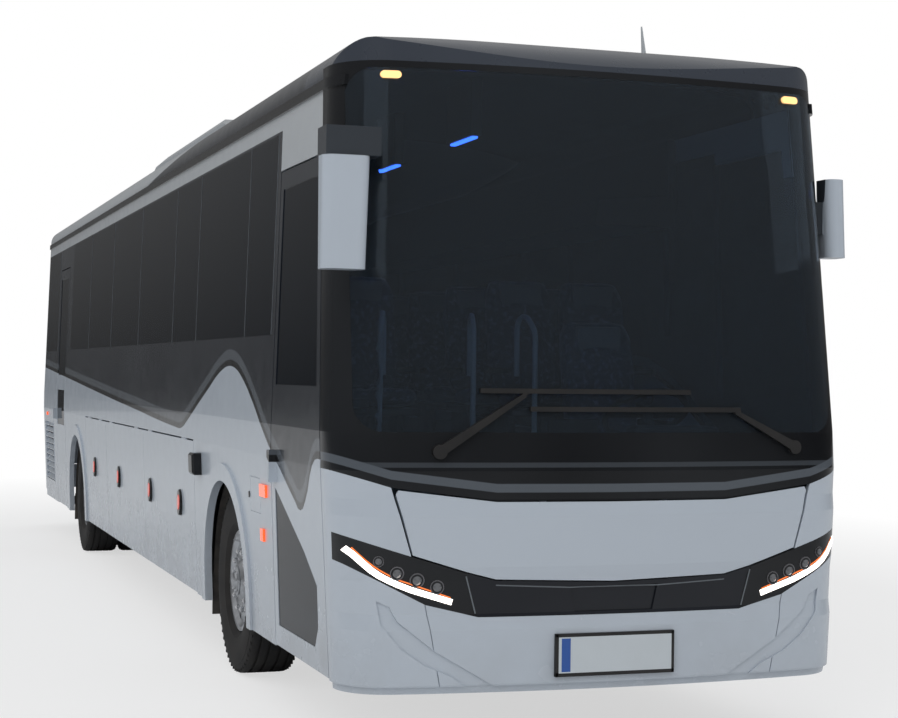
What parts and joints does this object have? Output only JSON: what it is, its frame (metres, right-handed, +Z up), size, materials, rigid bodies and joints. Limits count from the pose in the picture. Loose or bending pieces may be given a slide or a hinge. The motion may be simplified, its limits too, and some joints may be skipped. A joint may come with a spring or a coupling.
{
  "type": "coach bus",
  "caption": "Long two-axle coach bus with front and rear entrance doors, opening luggage flaps, service lids and steered front wheels.",
  "frame": {"origin": "on the ground under the middle of the coach", "axes": "+Z up, -Y towards the front, +X towards the driver's side, -X towards the entrance side"},
  "size_m": [2.75, 12.96, 3.5298],
  "materials": {
    "amber_lamp": "lens",
    "axle_iron": "satin",
    "dark_paint": "gloss",
    "floor": "matt",
    "frame_steel": "satin",
    "glass": "tinted",
    "gloss_black": "gloss",
    "lamp": "clear lens",
    "plate_white": "gloss",
    "red_lamp": "lens",
    "rim_metal": "polished",
    "roof_paint": "gloss",
    "seat_cloth": "woven",
    "silver_paint": "gloss",
    "trim": "matt",
    "tyre": "matt",
    "white_paint": "gloss"
  },
  "bodies": {
    "coach": {"arch_mouldings": "silver_paint", "axles": "axle_iron", "bumper": "white_paint", "corner_panels": "white_paint", "cowl_panel": "gloss_black", "dashboard": "trim", "engine": "axle_iron", "entrance_steps": "floor", "floor_deck": "floor", "grab_rails": "silver_paint", "grille_strip": "gloss_black", "gutters": "gloss_black", "headlamps": "lamp", "louvres": "white_paint", "lower_panels": "white_paint", "luggage_racks": "trim", "marker_lamps": "amber_lamp", "mirrors": "white_paint", "plates": "plate_white", "rear_wall": "dark_paint", "roof_dome": "dark_paint", "roof_shell": "roof_paint", "roof_unit": "roof_paint", "seats": "seat_cloth", "side_fittings": "gloss_black", "side_wall_left": "dark_paint", "side_wall_right": "dark_paint", "tail_lamps": "red_lamp", "underframe": "frame_steel", "wheel_housings": "trim", "windows": "glass", "windscreen": "glass", "windscreen_frame": "gloss_black", "wipers": "trim"},
    "front_lid": {"front_lid": "white_paint"},
    "engine_lid": {"engine_lid": "white_paint"},
    "front_door": {"front_door": "gloss_black", "front_door_glass": "glass"},
    "front_door_arm": {"front_door_arm": "frame_steel"},
    "rear_door": {"rear_door": "white_paint", "rear_door_glass": "glass"},
    "rear_door_arm": {"rear_door_arm": "frame_steel"},
    "knuckle_left": {"knuckle_left": "axle_iron"},
    "knuckle_right": {"knuckle_right": "axle_iron"},
    "track_rod": {"track_rod": "axle_iron"},
    "wheel_front_left": {"tyre_front_left": "tyre", "rim_front_left": "rim_metal"},
    "wheel_rear_left": {"tyre_rear_left": "tyre", "rim_rear_left": "rim_metal"},
    "flap_left_1": {"flap_left_1": "white_paint"},
    "flap_left_2": {"flap_left_2": "white_paint"},
    "flap_left_3": {"flap_left_3": "white_paint"},
    "wheel_front_right": {"tyre_front_right": "tyre", "rim_front_right": "rim_metal"},
    "wheel_rear_right": {"tyre_rear_right": "tyre", "rim_rear_right": "rim_metal"},
    "flap_right_1": {"flap_right_1": "white_paint"},
    "flap_right_2": {"flap_right_2": "white_paint"},
    "flap_right_3": {"flap_right_3": "white_paint"}
  },
  "joints": [
    {"name": "front_door_swing", "type": "hinge", "parent": "coach", "child": "front_door_arm", "pos_m": [-1.165, -5.99, 1], "axis": [0, 0, 1], "range_deg": [0, 145]},
    {"name": "front_door_leaf", "type": "hinge", "parent": "front_door_arm", "child": "front_door", "pos_m": [-1.165, -5.49, 1], "axis": [0, 0, 1], "range_deg": [-145, 0]},
    {"name": "rear_door_swing", "type": "hinge", "parent": "coach", "child": "rear_door_arm", "pos_m": [-1.165, 4.82, 1], "axis": [0, 0, -1], "range_deg": [0, 145]},
    {"name": "rear_door_leaf", "type": "hinge", "parent": "rear_door_arm", "child": "rear_door", "pos_m": [-1.165, 4.32, 1], "axis": [0, 0, -1], "range_deg": [-145, 0]},
    {"name": "flap_left_1_hinge", "type": "hinge", "parent": "coach", "child": "flap_left_1", "pos_m": [1.275, -2.895, 1.284], "axis": [0, -1, 0], "range_deg": [0, 88]},
    {"name": "flap_left_2_hinge", "type": "hinge", "parent": "coach", "child": "flap_left_2", "pos_m": [1.275, -0.868, 1.284], "axis": [0, -1, 0], "range_deg": [0, 88]},
    {"name": "flap_left_3_hinge", "type": "hinge", "parent": "coach", "child": "flap_left_3", "pos_m": [1.275, 1.16, 1.284], "axis": [0, -1, 0], "range_deg": [0, 88]},
    {"name": "flap_right_1_hinge", "type": "hinge", "parent": "coach", "child": "flap_right_1", "pos_m": [-1.275, -2.895, 1.284], "axis": [0, 1, 0], "range_deg": [0, 88]},
    {"name": "flap_right_2_hinge", "type": "hinge", "parent": "coach", "child": "flap_right_2", "pos_m": [-1.275, -0.868, 1.284], "axis": [0, 1, 0], "range_deg": [0, 88]},
    {"name": "flap_right_3_hinge", "type": "hinge", "parent": "coach", "child": "flap_right_3", "pos_m": [-1.275, 1.16, 1.284], "axis": [0, 1, 0], "range_deg": [0, 88]},
    {"name": "front_lid_hinge", "type": "hinge", "parent": "coach", "child": "front_lid", "pos_m": [0, -6.42, 1.224], "axis": [-1, 0, 0], "range_deg": [0, 70]},
    {"name": "engine_lid_hinge", "type": "hinge", "parent": "coach", "child": "engine_lid", "pos_m": [0, 6.472, 1.643], "axis": [1, 0, 0], "range_deg": [0, 80]},
    {"name": "steering_right", "type": "hinge", "parent": "coach", "child": "knuckle_right", "pos_m": [-0.98, -3.82, 0.522], "axis": [0, 0, 1], "range_deg": [-42, 42]},
    {"name": "steering_left", "type": "hinge", "parent": "coach", "child": "knuckle_left", "pos_m": [0.98, -3.82, 0.522], "axis": [0, 0, 1], "range_deg": [-42, 42]},
    {"name": "track_rod_pin", "type": "hinge", "parent": "knuckle_right", "child": "track_rod", "pos_m": [-0.98, -3.66, 0.41], "axis": [0, 0, 1], "range_deg": [-42, 42]},
    {"name": "wheel_front_left_spin", "type": "hinge", "parent": "knuckle_left", "child": "wheel_front_left", "pos_m": [1.05, -3.82, 0.522], "axis": [1, 0, 0], "continuous": true},
    {"name": "wheel_rear_left_spin", "type": "hinge", "parent": "coach", "child": "wheel_rear_left", "pos_m": [0.88, 3.25, 0.522], "axis": [1, 0, 0], "continuous": true},
    {"name": "wheel_front_right_spin", "type": "hinge", "parent": "knuckle_right", "child": "wheel_front_right", "pos_m": [-1.05, -3.82, 0.522], "axis": [1, 0, 0], "continuous": true},
    {"name": "wheel_rear_right_spin", "type": "hinge", "parent": "coach", "child": "wheel_rear_right", "pos_m": [-0.88, 3.25, 0.522], "axis": [1, 0, 0], "continuous": true}
  ],
  "couplings": [
    {"joint": "front_door_leaf", "follows": "front_door_swing", "ratio": -1},
    {"joint": "rear_door_leaf", "follows": "rear_door_swing", "ratio": -1},
    {"joint": "steering_left", "follows": "steering_right", "ratio": 1},
    {"joint": "track_rod_pin", "follows": "steering_right", "ratio": -1}
  ]
}
